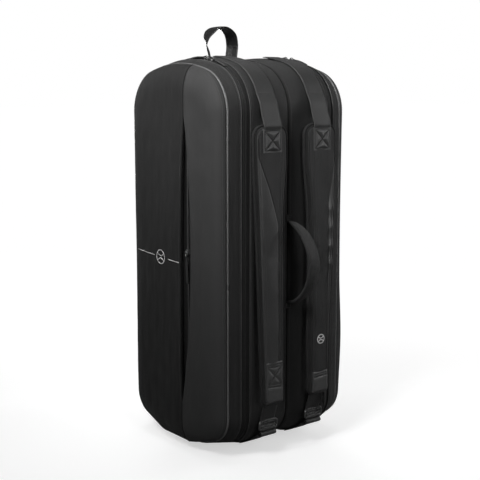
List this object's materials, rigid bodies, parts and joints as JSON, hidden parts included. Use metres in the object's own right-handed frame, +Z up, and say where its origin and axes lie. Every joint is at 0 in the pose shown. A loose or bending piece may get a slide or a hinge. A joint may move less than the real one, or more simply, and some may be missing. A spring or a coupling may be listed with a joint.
{
  "type": "racket tournament bag",
  "caption": "Upright padded bag with rounded ends, zipped racket compartments, padded shoulder straps, side pockets, carry handle and hanging loop.",
  "frame": {"origin": "centre of the flat base patch that the bag stands on", "axes": "+Z up along the bag's height, +X across the compartments from lid A to lid B, -Y out of the strap face"},
  "size_m": [0.3285, 0.3874, 0.821],
  "materials": {
    "ballistic_fabric": "satin coated woven polyester",
    "foam": "matte closed-cell foam",
    "thermal_lining": "metallised thermal lining",
    "plain_lining": "plain woven lining",
    "divider_fabric": "brushed padded divider",
    "seam_binding": "matte binding tape",
    "frame_sheet": "polyethylene sheet",
    "base_rubber": "rubberised tarpaulin",
    "zip_tape": "knitted zip tape with nylon coil",
    "webbing": "semi-gloss woven webbing",
    "satin_webbing": "satin woven webbing",
    "handle_fabric": "matte woven fabric",
    "piping": "satin piping cord",
    "smooth_panel": "smooth coated fabric",
    "ribbed_mesh": "fine textured weave",
    "emblem_print": "raised silver print",
    "slider_metal": "polished die-cast metal",
    "pull_rubber": "matte moulded pull",
    "pad_mesh": "spacer mesh",
    "strap_fabric": "satin woven facing",
    "buckle_plastic": "satin acetal"
  },
  "bodies": {
    "core": {"gusset_a": "ballistic_fabric", "gusset_b": "ballistic_fabric", "gusset_foam_a": "foam", "gusset_foam_b": "foam", "lining_a": "thermal_lining", "lining_b": "plain_lining", "centre_divider": "divider_fabric", "centre_piping": "seam_binding", "frame_sheets": "frame_sheet", "base_patch": "base_rubber", "zip_a_core_tape": "zip_tape", "zip_b_core_tape": "zip_tape", "hinge_strip_a": "ballistic_fabric", "hinge_strip_b": "ballistic_fabric", "strap_anchor_l": "webbing", "strap_anchor_r": "webbing", "buckle_tab_l": "webbing", "buckle_tab_r": "webbing", "handle_anchors": "handle_fabric", "loop_patch": "handle_fabric"},
    "lid_a": {"lid_a_gusset": "ballistic_fabric", "lid_a_piping": "piping", "lid_a_panel": "smooth_panel", "lid_a_mesh": "ribbed_mesh", "lid_a_foam": "foam", "lid_a_lining": "thermal_lining", "zip_a_lid_tape": "zip_tape", "pocket_a_zip": "zip_tape", "side_emblem": "emblem_print"},
    "lid_b": {"lid_b_gusset": "ballistic_fabric", "lid_b_piping": "piping", "lid_b_panel": "smooth_panel", "lid_b_mesh": "ribbed_mesh", "lid_b_foam": "foam", "lid_b_lining": "plain_lining", "zip_b_lid_tape": "zip_tape", "pocket_b_zip": "zip_tape"},
    "slider_a_front": {"zip_a_slider_front": "slider_metal"},
    "pull_a_front": {"zip_a_pull_front": "pull_rubber"},
    "slider_a_rear": {"zip_a_slider_rear": "slider_metal"},
    "pull_a_rear": {"zip_a_pull_rear": "pull_rubber"},
    "pocket_slider_a": {"pocket_a_slider": "slider_metal"},
    "pocket_pull_a": {"pocket_a_pull": "pull_rubber"},
    "slider_b_front": {"zip_b_slider_front": "slider_metal"},
    "pull_b_front": {"zip_b_pull_front": "pull_rubber"},
    "slider_b_rear": {"zip_b_slider_rear": "slider_metal"},
    "pull_b_rear": {"zip_b_pull_rear": "pull_rubber"},
    "pocket_slider_b": {"pocket_b_slider": "slider_metal"},
    "pocket_pull_b": {"pocket_b_pull": "pull_rubber"},
    "strap_l": {"strap_pad_l": "pad_mesh", "strap_face_l": "strap_fabric", "strap_webbing_l": "webbing"},
    "strap_r": {"strap_pad_r": "pad_mesh", "strap_face_r": "strap_fabric", "strap_webbing_r": "webbing", "strap_emblem": "emblem_print"},
    "lock_l": {"ladder_lock_l": "buckle_plastic"},
    "lock_r": {"ladder_lock_r": "buckle_plastic"},
    "handle": {"carry_handle": "handle_fabric"},
    "loop": {"top_loop": "satin_webbing"}
  },
  "joints": [
    {"name": "lid_a_open", "type": "hinge", "parent": "core", "child": "lid_a", "pos_m": [-0.104, 0, 0.00662], "axis": [0, -1, 0], "range_deg": [0, 35], "stiffness_Nm_per_rad": 40},
    {"name": "zip_a_front_run", "type": "hinge", "parent": "core", "child": "slider_a_front", "pos_m": [-0.104, 0, 0.439], "axis": [1, 0, 0], "range_deg": [0, 3.95]},
    {"name": "zip_a_front_pull", "type": "hinge", "parent": "slider_a_front", "child": "pull_a_front", "pos_m": [-0.104, -0.05606, 0.75541], "axis": [-1, 0, 0], "range_deg": [0, 90]},
    {"name": "zip_a_rear_run", "type": "hinge", "parent": "core", "child": "slider_a_rear", "pos_m": [-0.104, 0, 0.439], "axis": [-1, 0, 0], "range_deg": [0, 20.8]},
    {"name": "zip_a_rear_pull", "type": "hinge", "parent": "slider_a_rear", "child": "pull_a_rear", "pos_m": [-0.104, -0.03804, 0.75808], "axis": [1, 0, 0], "range_deg": [0, 90]},
    {"name": "pocket_a_run", "type": "slide", "parent": "lid_a", "child": "pocket_slider_a", "axis": [0, 0, 1], "range_m": [-0.15, 0.16]},
    {"name": "pocket_a_pull_swing", "type": "hinge", "parent": "pocket_slider_a", "child": "pocket_pull_a", "pos_m": [-0.161, -0.048, 0.395], "axis": [0, 1, 0], "range_deg": [0, 80]},
    {"name": "lid_b_open", "type": "hinge", "parent": "core", "child": "lid_b", "pos_m": [0.104, 0, 0.00662], "axis": [0, 1, 0], "range_deg": [0, 35], "stiffness_Nm_per_rad": 40},
    {"name": "zip_b_front_run", "type": "hinge", "parent": "core", "child": "slider_b_front", "pos_m": [0.104, 0, 0.439], "axis": [1, 0, 0], "range_deg": [0, 6.48]},
    {"name": "zip_b_front_pull", "type": "hinge", "parent": "slider_b_front", "child": "pull_b_front", "pos_m": [0.104, -0.04204, 0.75757], "axis": [-1, 0, 0], "range_deg": [0, 90]},
    {"name": "zip_b_rear_run", "type": "hinge", "parent": "core", "child": "slider_b_rear", "pos_m": [0.104, 0, 0.439], "axis": [-1, 0, 0], "range_deg": [0, 18.29]},
    {"name": "zip_b_rear_pull", "type": "hinge", "parent": "slider_b_rear", "child": "pull_b_rear", "pos_m": [0.104, -0.02403, 0.75944], "axis": [1, 0, 0], "range_deg": [0, 90]},
    {"name": "pocket_b_run", "type": "slide", "parent": "lid_b", "child": "pocket_slider_b", "axis": [0, 0, 1], "range_m": [-0.15, 0.16]},
    {"name": "pocket_b_pull_swing", "type": "hinge", "parent": "pocket_slider_b", "child": "pocket_pull_b", "pos_m": [0.161, -0.048, 0.395], "axis": [0, -1, 0], "range_deg": [0, 80]},
    {"name": "strap_l_swing", "type": "hinge", "parent": "core", "child": "strap_l", "pos_m": [-0.058, -0.161, 0.65], "axis": [-1, 0, 0], "range_deg": [0, 20]},
    {"name": "strap_r_swing", "type": "hinge", "parent": "core", "child": "strap_r", "pos_m": [0.058, -0.161, 0.65], "axis": [1, 0, 0], "range_deg": [-20, 0]},
    {"name": "lock_l_tilt", "type": "hinge", "parent": "core", "child": "lock_l", "pos_m": [-0.058, -0.1655, 0.06], "axis": [1, 0, 0], "range_deg": [0, 35]},
    {"name": "lock_r_tilt", "type": "hinge", "parent": "core", "child": "lock_r", "pos_m": [0.058, -0.1655, 0.06], "axis": [1, 0, 0], "range_deg": [0, 35]},
    {"name": "handle_swing", "type": "hinge", "parent": "core", "child": "handle", "pos_m": [0, -0.157, 0.375], "axis": [0, 0, 1], "range_deg": [-30, 30]},
    {"name": "loop_fold", "type": "hinge", "parent": "core", "child": "loop", "pos_m": [0, 0.057, 0.776], "axis": [1, 0, 0], "range_deg": [-75, 75]}
  ]
}
